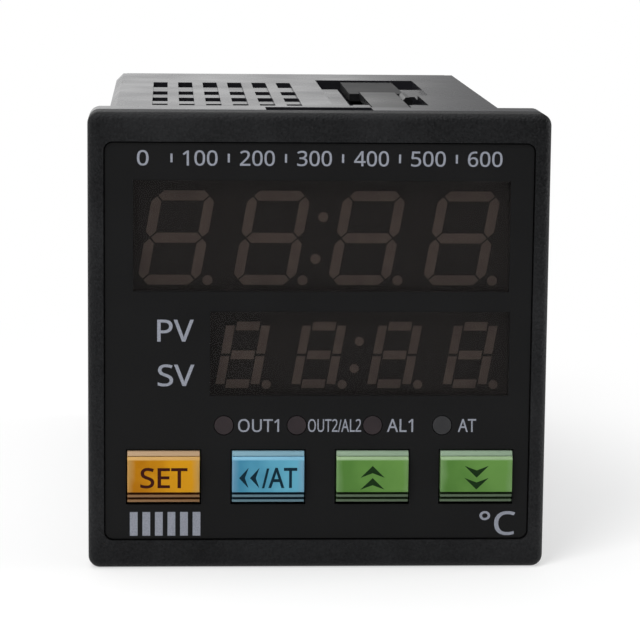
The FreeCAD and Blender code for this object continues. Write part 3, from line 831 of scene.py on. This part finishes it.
@dataclass(frozen=True)
class KeyPrint:
    """Places and sizes of what is printed on the keys, from the middle of the face.

    Attributes:
        rise: How far the print's middle is above the face's.
        half: Half the height of the capitals.
        weight: How far their strokes are thickened.
        words: Each word with its left and its right edge.
        stack: Places of two arrowheads, one over the other.
        arrows: Width, height and turn of a key's arrowheads, and their places.
    """

    rise: float = 0.06 * MM
    half: float = 1.1 * MM
    weight: float = 0.016
    words: ClassVar[dict[Legend, tuple[str, float, float]]] = {
        Legend.SET: ("SET", -2.42 * MM, 2.5 * MM),
        Legend.SHIFT: ("/AT", -0.66 * MM, 3.03 * MM),
    }
    stack: ClassVar = ((0, 0.645 * MM), (0, -0.645 * MM))
    arrows: ClassVar[dict[Legend, tuple[float, float, float, tuple]]] = {
        Legend.SHIFT: (2.2 * MM, 1.0 * MM, -math.pi / 2, ((-2.56 * MM, 0), (-1.42 * MM, 0))),
        Legend.UP: (2.56 * MM, 1.26 * MM, 0.0, stack),
        Legend.DOWN: (2.56 * MM, 1.26 * MM, math.pi, stack),
    }


@dataclass(frozen=True)
class Key:
    """One push key, a stepped and crowned moulding with its printed legend.

    Attributes:
        legend: What it shows.
        slot: Its material slot.
        resin: Its moulding's finish.
        ink: Colour of its legend.
        shape: Its sizes.
        print_shape: Sizes of its legend.
    """

    legend: Legend
    slot: str
    resin: KeyResin
    ink: Color
    shape: KeyShape = KeyShape()
    print_shape: KeyPrint = KeyPrint()

    @property
    def body(self) -> str:
        """Name of the moving body."""
        return self.legend.value + "_button"

    def build(self) -> None:
        """Models the cap and its legend, and dresses both."""
        name = self.legend.value
        node = "key_" + name
        low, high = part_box(node)
        form = self.cap(low, high)
        bottom, top = low.z + self.shape.lip, high.z - self.shape.lip
        middle = Vector(((low.x + high.x) / 2, low.y, (bottom + top) / 2))
        half = (top - bottom) / 2
        material = self.resin.make("resin_" + name, middle, (high.x - low.x) / 2,
                                   self.shape.levels(-half, half),
                                   self.shape.grooves(-half, half))
        piece = form.finish(self.body, self.slot, material)
        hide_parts(node)
        self.print_legend(piece, middle)

    def cap(self, low: Vector, high: Vector) -> Form:
        """The cap with its stop lips and its stem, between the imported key's corners."""
        shape = self.shape
        name = "cap_" + self.legend.value
        stem_front = high.y - shape.stem
        back = stem_front - shape.lip_depth
        bottom, top = low.z + shape.lip, high.z - shape.lip
        points = [Vector((low.x, y, z)) for y, z in shape.profile(low.y, back, bottom, top)]
        cap = Form.outline(name, points, (high.x - low.x, 0, 0))
        for side, x in ((-1, low.x), (1, high.x)):
            cap.trim((x, low.y + shape.side_chamfer, 0), (side, -1, 0))
            for rise, z in ((-1, bottom), (1, top)):
                cap.trim((x - side * shape.corner, 0, z), (side, 0, rise))
        cap.outward().bevel(shape.rounding, segments=2, angle=25)
        lips = Form.block(name + "_lips", (low.x, back, low.z), (high.x, stem_front, high.z))
        x, z, half = (low.x + high.x) / 2, (low.z + high.z) / 2, shape.stem_size / 2
        stem = Form.block(name + "_stem", (x - half, stem_front, z - half),
                          (x + half, high.y, z + half))
        return joined(name, [cap, lips.bevel(shape.lip_rounding), stem]).smooth(30)

    def print_legend(self, cap: bpy.types.Object, middle: Vector) -> None:
        """Prints the legend on the crowned face of the finished cap."""
        shape = self.print_shape
        x, y, z = middle
        z += shape.rise
        name = "legend_" + self.legend.value
        forms = []
        if self.legend in shape.words:
            text, left, right = shape.words[self.legend]
            box = (x + left, x + right, z - shape.half, z + shape.half)
            forms.append(lettering(name, text, box, shape.weight, y))
        width, height, turn, places = shape.arrows.get(self.legend, (0.0, 0.0, 0.0, ()))
        for across, up in places:
            forms.append(arrowhead(name + "_arrow", (x + across, y, z + up), width, height, turn))
        form = joined(name, forms)
        wrap(form, cap)
        form.finish(self.body, self.slot, Ink(self.ink).make(name + "_ink"))


def arrowhead(name: str, centre: Sequence[float], width: float, height: float,
              turn: float) -> Form:
    """Filled arrowhead with a notched back, which points up before it is turned.

    Args:
        name: The form's name.
        centre: Its middle.
        width: Width across its barbs.
        height: Height from the barbs to the tip.
        turn: Turn about the front-to-back axis, in radians.
    """
    notch = 0.58
    form = Form.triangle(name)
    form.work("EDGE", lambda p, d: p.z < 0 and abs(d.z) < 1e-3, bpy.ops.mesh.subdivide,
              number_cuts=1)
    form.shift(lambda p, _n: abs(p.x) < 1e-3 and p.z < 0, (0, 0, notch))
    (x0, x1), (z0, z1) = form.reach(0), form.reach(2)
    form.shift(anything, (-(x0 + x1) / 2, 0, -(z0 + z1) / 2))
    form.object.scale = (width / (x1 - x0), 1, height / (z1 - z0))
    form.settle()
    form.object.rotation_euler = (0, turn, 0)
    form.object.location = centre
    return form.settle()


def wrap(form: Form, cap: bpy.types.Object) -> None:
    """Lays flat print on a curved face, over it by the thickness of ink."""
    start, ink = 1.0 * MM, 0.01 * MM
    form.work("FACE", anything, bpy.ops.mesh.quads_convert_to_tris)
    form.work("FACE", anything, bpy.ops.mesh.subdivide, number_cuts=2)
    form.shift(anything, (0, -start, 0))
    form.modify("SHRINKWRAP", target=cap, wrap_method="PROJECT", use_project_y=True,
                use_negative_direction=False, use_positive_direction=True, offset=ink).smooth()


# ---- print on the front
def lettering(name: str, text: str, box: Sequence[float], weight: float, y: float,
              rear: bool = False) -> Form:
    """Flat lettering that faces the front or the rear.

    Args:
        name: The form's name.
        text: What it says.
        box: Left and right edge, foot and head of its capitals.
        weight: How far its strokes are thickened.
        y: The plane that it lies in.
        rear: Whether it is read from the rear.

    Returns:
        The form, as a mesh.
    """
    Form.clear()
    bpy.ops.object.text_add(location=(0, 0, 0))
    curve = bpy.context.active_object.data
    curve.body = text.translate(SANS)
    curve.size = 1.0
    curve.offset = weight
    curve.resolution_u = 4
    bpy.ops.object.convert(target="MESH")
    form = Form(name)
    (x0, x1), (y0, y1) = form.reach(0), form.reach(1)
    left, right, foot, head = box
    scale_x, scale_y = (right - left) / (x1 - x0), (head - foot) / (y1 - y0)
    form.object.scale = (scale_x, scale_y, 1)
    form.settle()
    form.object.rotation_euler = (math.pi / 2, 0, math.pi if rear else 0)
    x = right + x0 * scale_x if rear else left - x0 * scale_x
    form.object.location = (x, y, foot - y0 * scale_y)
    return form.settle()


@dataclass(frozen=True)
class FrontPrint:
    """Everything printed on the overlay, in one light ink, placed from the overlay's middle.

    Attributes:
        middle: Middle of the overlay, at the height of the ink.
        ink: Colour of the ink.
        weight: How far the strokes of the lettering are thickened.
        words: Each word with its left and right edge, its foot and its head, in millimetres.
        scale_marks: Numbers of the scale along the top.
        scale_ends: Middles of its first and last number.
        scale_rise: Foot and head of the numbers.
        digit_width: Width of a number for each digit.
        tick: Width and height of the ticks between the numbers.
        bars: Number of bars in the lower left corner, and a bar's share of its pitch.
        bar_box: Left and right edge, foot and head of the row of bars.
    """

    middle: Vector
    ink: Color = (0.29, 0.305, 0.355)
    weight: float = 0.008
    words: tuple[tuple[str, float, float, float, float], ...] = (
        ("PV", -16.8, -13.0, 0.13, 2.44),
        ("SV", -16.74, -12.92, -4.6, -2.27),
        ("OUT1", -8.35, -4.05, -9.46, -8.07),
        ("OUT2/AL2", -1.02, 4.56, -9.46, -8.07),
        ("AL1", 7.27, 10.03, -9.46, -8.07),
        ("AT", 14.75, 16.67, -9.46, -8.07),
        ("°C", 17.2, 21.0, -20.58, -17.97),
    )
    scale_marks: tuple[str, ...] = ("0", "100", "200", "300", "400", "500", "600")
    scale_ends: tuple[float, float] = (-18.3 * MM, 17.1 * MM)
    scale_rise: tuple[float, float] = (18.5 * MM, 20.1 * MM)
    digit_width: float = 1.2 * MM
    tick: tuple[float, float] = (0.22 * MM, 0.9 * MM)
    bars: tuple[int, float] = (6, 0.62)
    bar_box: tuple[float, float, float, float] = (-19.9 * MM, -12.0 * MM, -20.55 * MM, -18.0 * MM)

    def build(self) -> None:
        """Prints the words beside the windows and lamps, the scale and the row of bars."""
        ink = Ink(self.ink).make("front_ink")
        words = [self.word(f"word_{i}", text, *(edge * MM for edge in edges))
                 for i, (text, *edges) in enumerate(self.words)]
        for name, forms in (("print_words", words), ("print_scale", self.scale()),
                            ("print_marks", self.corner_bars())):
            joined(name, forms).finish(HOUSING, "overlay_print", ink)

    def word(self, name: str, text: str, left: float, right: float, foot: float,
             head: float) -> Form:
        """One word or number of the front."""
        x, y, z = self.middle
        return lettering(name, text, (x + left, x + right, z + foot, z + head), self.weight, y)

    def mark(self, name: str, across: float, foot: float, head: float, width: float,
             height: float) -> Form:
        """One plain bar, half way between two heights."""
        x, y, z = self.middle
        return Form.bar(name, (x + across, y, z + (foot + head) / 2), width, height)

    def scale(self) -> list[Form]:
        """A plain number scale with a tick between each two numbers."""
        (left, right), rise = self.scale_ends, self.scale_rise
        gaps = len(self.scale_marks) - 1
        step = (right - left) / gaps
        forms = []
        for i, mark in enumerate(self.scale_marks):
            x, half = left + i * step, self.digit_width * len(mark) / 2
            forms.append(self.word(f"mark_{i}", mark, x - half, x + half, *rise))
        return forms + [
            self.mark(f"tick_{i}", left + (i + 0.5) * step, *rise, *self.tick) for i in range(gaps)
        ]

    def corner_bars(self) -> list[Form]:
        """A row of plain bars in the lower left corner."""
        left, right, foot, head = self.bar_box
        count, share = self.bars
        pitch = (right - left) / count
        return [
            self.mark(f"bar_{i}", left + (i + 0.5) * pitch, foot, head, pitch * share, head - foot)
            for i in range(count)
        ]


# ---- terminals
@dataclass(frozen=True)
class Terminals:
    """The rounded terminal screws and the numbers beside them.

    Attributes:
        rows: Number of screws in a column.
        radius: Radius of a head.
        height: Height of a head.
        dome: Rounding of a head's rim, and its number of strips.
        shank: Radius of a shank.
        sides: Number of sides of a head and of a shank.
        slot: Width, length and depth of the cross recess.
        slot_foot: Width of the recess at its foot, as a share.
        digit: Width and height of a digit.
        digit_x: How far the middle of a number is from the middle of the part.
        lift: Height of the ink over the moulding.
        weight: How far the strokes of the digits are thickened.
        ink: Colour of the ink.
    """

    rows: int = 6
    radius: float = 2.5 * MM
    height: float = 1.8 * MM
    dome: tuple[float, int] = (0.55 * MM, 5)
    shank: float = 1.45 * MM
    sides: tuple[int, int] = (40, 24)
    slot: tuple[float, float, float] = (0.7 * MM, 3.2 * MM, 0.9 * MM)
    slot_foot: float = 0.72
    digit: tuple[float, float] = (1.05 * MM, 1.9 * MM)
    digit_x: float = 6.9 * MM
    lift: float = 0.004 * MM
    weight: float = 0.008
    ink: Color = (0.40, 0.41, 0.43)

    def build(self, steel: bpy.types.Material) -> None:
        """Models one screw, sets twelve of them, and prints their numbers."""
        low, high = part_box("terminal_screws")
        first = self.screw(low.y, high.y)
        pitch = (high.z - low.z - 2 * self.radius) / (self.rows - 1)
        places = [
            (x, high.z - self.radius - i * pitch)
            for x in (low.x + self.radius, high.x - self.radius) for i in range(self.rows)
        ]
        screws = [first.copy(f"screw_{i}", (x, 0, z)) for i, (x, z) in enumerate(places)]
        bpy.data.objects.remove(first.object)
        piece = joined("rounded_screws", screws).finish(HOUSING, "screw_steel", steel)
        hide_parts("terminal_screws")
        _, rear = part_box("terminal_block")
        numbers = []
        for i, (x, z) in enumerate(places):
            half, rise = self.digit[0] * len(str(i + 1)) / 2, self.digit[1] / 2
            side = math.copysign(self.digit_x, x)
            box = (side - half, side + half, z - rise, z + rise)
            numbers.append(lettering(f"number_{i}", str(i + 1), box, self.weight,
                                     rear.y + self.lift, rear=True))
        joined("terminal_numbers", numbers).finish(HOUSING, "terminal_plastic",
                                                   Ink(self.ink).make("rear_ink"))

    def screw(self, back: float, front: float) -> Form:
        """One screw on the middle line, with a domed rim and a tapered cross recess."""
        head = self.rod("screw_head", self.sides[0], self.radius, front - self.height, front)
        rounding, strips = self.dome
        head.work("EDGE", lambda p, d: p.y > front - EDGE and abs(d.y) < EDGE,
                  bpy.ops.mesh.bevel, offset=rounding, segments=strips, affect="EDGES")
        width, length, depth = self.slot
        for i, (x, z) in enumerate(((length, width), (width, length))):
            tool = Form.block(f"recess_{i}", (-x / 2, front - depth, -z / 2),
                              (x / 2, front + depth, z / 2))
            tool.work("FACE", lambda _p, n: n.y < -0.9, bpy.ops.transform.resize,
                      value=(self.slot_foot, 1, self.slot_foot))
            head.modify("BOOLEAN", operation="DIFFERENCE", object=tool.object)
            bpy.data.objects.remove(tool.object)
        shank = self.rod("screw_shank", self.sides[1], self.shank, back, front - self.height)
        return joined("screw", [head, shank]).smooth(35)

    @staticmethod
    def rod(name: str, sides: int, radius: float, back: float, front: float) -> Form:
        """A round rod along the depth."""
        Form.clear()
        bpy.ops.mesh.primitive_cylinder_add(
            vertices=sides, radius=radius, depth=front - back,
            location=(0, (back + front) / 2, 0), rotation=(math.pi / 2, 0, 0),
        )
        return Form(name).settle()


# ---- studio
@dataclass(frozen=True)
class Studio:
    """Pale floor, soft lamps and the camera.

    Attributes:
        camera_place: Where the camera stands.
        camera_turn: Turn to the right, in degrees.
        camera_tilt: Tilt downwards, in degrees.
        camera_roll: Roll, in degrees.
        lens: Focal length and width of the sensor, in millimetres.
        clip: Nearest distance that the camera sees.
        paper_size: Side of the floor.
        paper_reach: Distances from the part where the floor starts to whiten and is white.
        paper_share: Share of plain white close to the part.
        paper_tints: Darkest and lightest colour of the floor, and the width of its blotches.
        surroundings: Directions, where each gets dark and bright, and its darkest share.
        lights: Name, place, size and power of each lamp.
    """

    camera_place: Color = (-15.762 * MM, -297.188 * MM, 48.155 * MM)
    camera_turn: float = 3.142
    camera_tilt: float = 8.963
    camera_roll: float = 0.574
    lens: tuple[float, float] = (158.5, 36.0)
    clip: float = 0.01
    paper_size: float = 8.0
    paper_reach: tuple[float, float] = (0.03, 0.16)
    paper_share: float = 0.5
    paper_tints: tuple[Color, Color, float] = ((0.90, 0.90, 0.90), (0.92, 0.92, 0.92), 60 * MM)
    surroundings: tuple[tuple[Color, float, float, float], ...] = (
        ((-0.2, 0.97, 0.1), -0.4, 0.7, 0.25),
        ((-0.997, 0.08, 0.0), -0.03, 0.04, 0.25),
    )
    lights: tuple[tuple[str, Color, float, float], ...] = (
        ("key_lamp", (-0.45, -0.65, 0.80), 0.5, 8.0),
        ("top_lamp", (0.05, 0.05, 0.95), 0.8, 4.0),
        ("edge_lamp", (0.9, 0.1, 0.25), 0.4, 4.0),
    )

    def build(self) -> None:
        """Sets up the whole studio."""
        self.floor()
        self.world()
        self.lamps()
        self.camera()
        bpy.context.scene.view_settings.view_transform = "Standard"

    def floor(self) -> None:
        """Large pale floor, which turns to plain white paper away from the part's shadow."""
        low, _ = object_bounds()
        Form.clear()
        bpy.ops.mesh.primitive_plane_add(size=self.paper_size, location=(0, 0, low[2]))
        form = Form("floor").settle()
        n = Nodes("floor_paper")
        dark, light, blotch = self.paper_tints
        n.surface(Base_Color=n.mix(n.noise(blotch), dark, light), Roughness=0.9,
                  Specular_IOR_Level=0.0)
        x, y, _ = n.axes()
        squares = [n.maths("POWER", axis, 2.0) for axis in (x, y)]
        distance = n.maths("SQRT", n.maths("ADD", *squares))
        path = n.add("ShaderNodeLightPath").outputs
        seen = n.maths("MAXIMUM", path["Is Camera Ray"], path["Is Glossy Ray"])
        seen = n.maths("MAXIMUM", seen, path["Is Transmission Ray"])
        paper = n.add("ShaderNodeEmission")
        blend = n.add("ShaderNodeMixShader")
        far = n.spread(distance, *self.paper_reach, self.paper_share, 1.0, smooth=True)
        n.link(n.maths("MULTIPLY", far, seen), blend.inputs["Fac"])
        n.link(n.shader.outputs["BSDF"], blend.inputs[1])
        n.link(paper.outputs["Emission"], blend.inputs[2])
        n.link(blend.outputs["Shader"], n.output.inputs["Surface"])
        form.object.data.materials.append(n.material)
        form.object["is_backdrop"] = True

    def world(self) -> None:
        """Soft surroundings, bright behind on the left and dim in front; white to the camera."""
        world = bpy.data.worlds.new("studio")
        bpy.context.scene.world = world
        tree = Tree(world)
        place = tree.add("ShaderNodeTexCoord").outputs["Generated"]
        levels = []
        for direction, low, high, dark in self.surroundings:
            dot = tree.feed("ShaderNodeVectorMath", "Value", {0: place, 1: direction},
                            operation="DOT_PRODUCT")
            levels.append(tree.spread(dot, low, high, dark, smooth=True))
        path = tree.add("ShaderNodeLightPath").outputs
        seen = tree.maths("MAXIMUM", path["Is Camera Ray"], path["Is Transmission Ray"])
        inputs = {"Factor": seen, "A": tree.maths("MULTIPLY", *levels), "B": 1.0}
        level = tree.feed("ShaderNodeMix", 0, inputs, data_type="FLOAT")
        background = tree.feed("ShaderNodeBackground", "Background",
                               {"Color": (1.0, 1.0, 1.0), "Strength": level})
        tree.link(background, tree.add("ShaderNodeOutputWorld").inputs["Surface"])

    def lamps(self) -> None:
        """A soft key lamp in front and above, a large soft top, and a low strip on the right."""
        for name, place, size, power in self.lights:
            lamp = bpy.data.lights.new(name, "AREA")
            lamp.shape = "SQUARE"
            lamp.size = size
            lamp.energy = power
            holder = bpy.data.objects.new(name, lamp)
            holder.location = place
            holder.rotation_euler = (-Vector(place)).to_track_quat("-Z", "Y").to_euler()
            bpy.context.scene.collection.objects.link(holder)

    def camera(self) -> None:
        """The camera, with no shift and no depth of field."""
        data = bpy.data.cameras.new("camera")
        data.lens, data.sensor_width = self.lens
        data.clip_start = self.clip
        holder = bpy.data.objects.new("camera", data)
        holder.matrix_world = (
            Matrix.Translation(self.camera_place)
            @ Matrix.Rotation(-math.radians(self.camera_turn), 4, "Z")
            @ Matrix.Rotation(math.pi / 2 - math.radians(self.camera_tilt), 4, "X")
            @ Matrix.Rotation(math.radians(self.camera_roll), 4, "Z")
        )
        bpy.context.scene.collection.objects.link(holder)
        bpy.context.scene.camera = holder


# Key colours: band and bevel are painted highlights; the left of the face, the ribs and the
# grooves are painted shade.
ORANGE = KeyResin(
    left=(0.40, 0.150, 0.003), right=(0.61, 0.280, 0.008), end_color=(0.44, 0.28, 0.10),
    band=(0.46, 0.315, 0.19), bevel=(0.60, 0.36, 0.12), rib_shade=(0.24, 0.135, 0.065),
    shade=(0.060, 0.018, 0.002),
)
BLUE = KeyResin(
    left=(0.050, 0.22, 0.34), right=(0.115, 0.375, 0.51), end_color=(0.18, 0.32, 0.44),
    band=(0.205, 0.36, 0.44), bevel=(0.21, 0.46, 0.62), rib_shade=(0.115, 0.195, 0.235),
    shade=(0.004, 0.021, 0.034),
)
GREEN = KeyResin(
    left=(0.078, 0.190, 0.038), right=(0.118, 0.255, 0.058), end_color=(0.17, 0.29, 0.12),
    band=(0.255, 0.345, 0.245), bevel=(0.30, 0.43, 0.24), rib_shade=(0.095, 0.13, 0.085),
    shade=(0.009, 0.021, 0.005),
)
KEYS = (
    Key(Legend.SET, "key_orange", ORANGE, (0.045, 0.009, 0.006)),
    Key(Legend.SHIFT, "key_blue", BLUE, (0.006, 0.024, 0.038)),
    Key(Legend.UP, "key_green", GREEN, (0.010, 0.030, 0.008)),
    Key(Legend.DOWN, "key_green", GREEN, (0.010, 0.030, 0.008)),
)


def main() -> None:
    """Builds and dresses the part, piece by piece, and sets up the studio."""
    logging.basicConfig(level=logging.INFO, format="%(name)s: %(message)s")
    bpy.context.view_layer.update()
    made = dress_nodes()
    for key in KEYS:
        key.build()
    low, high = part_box("front_overlay")
    FrontPrint(Vector(((low.x + high.x) / 2, low.y - FRONT_INK, (low.z + high.z) / 2))).build()
    Terminals().build(made["screw_steel"])
    Studio().build()


if __name__ == "__main__":
    main()
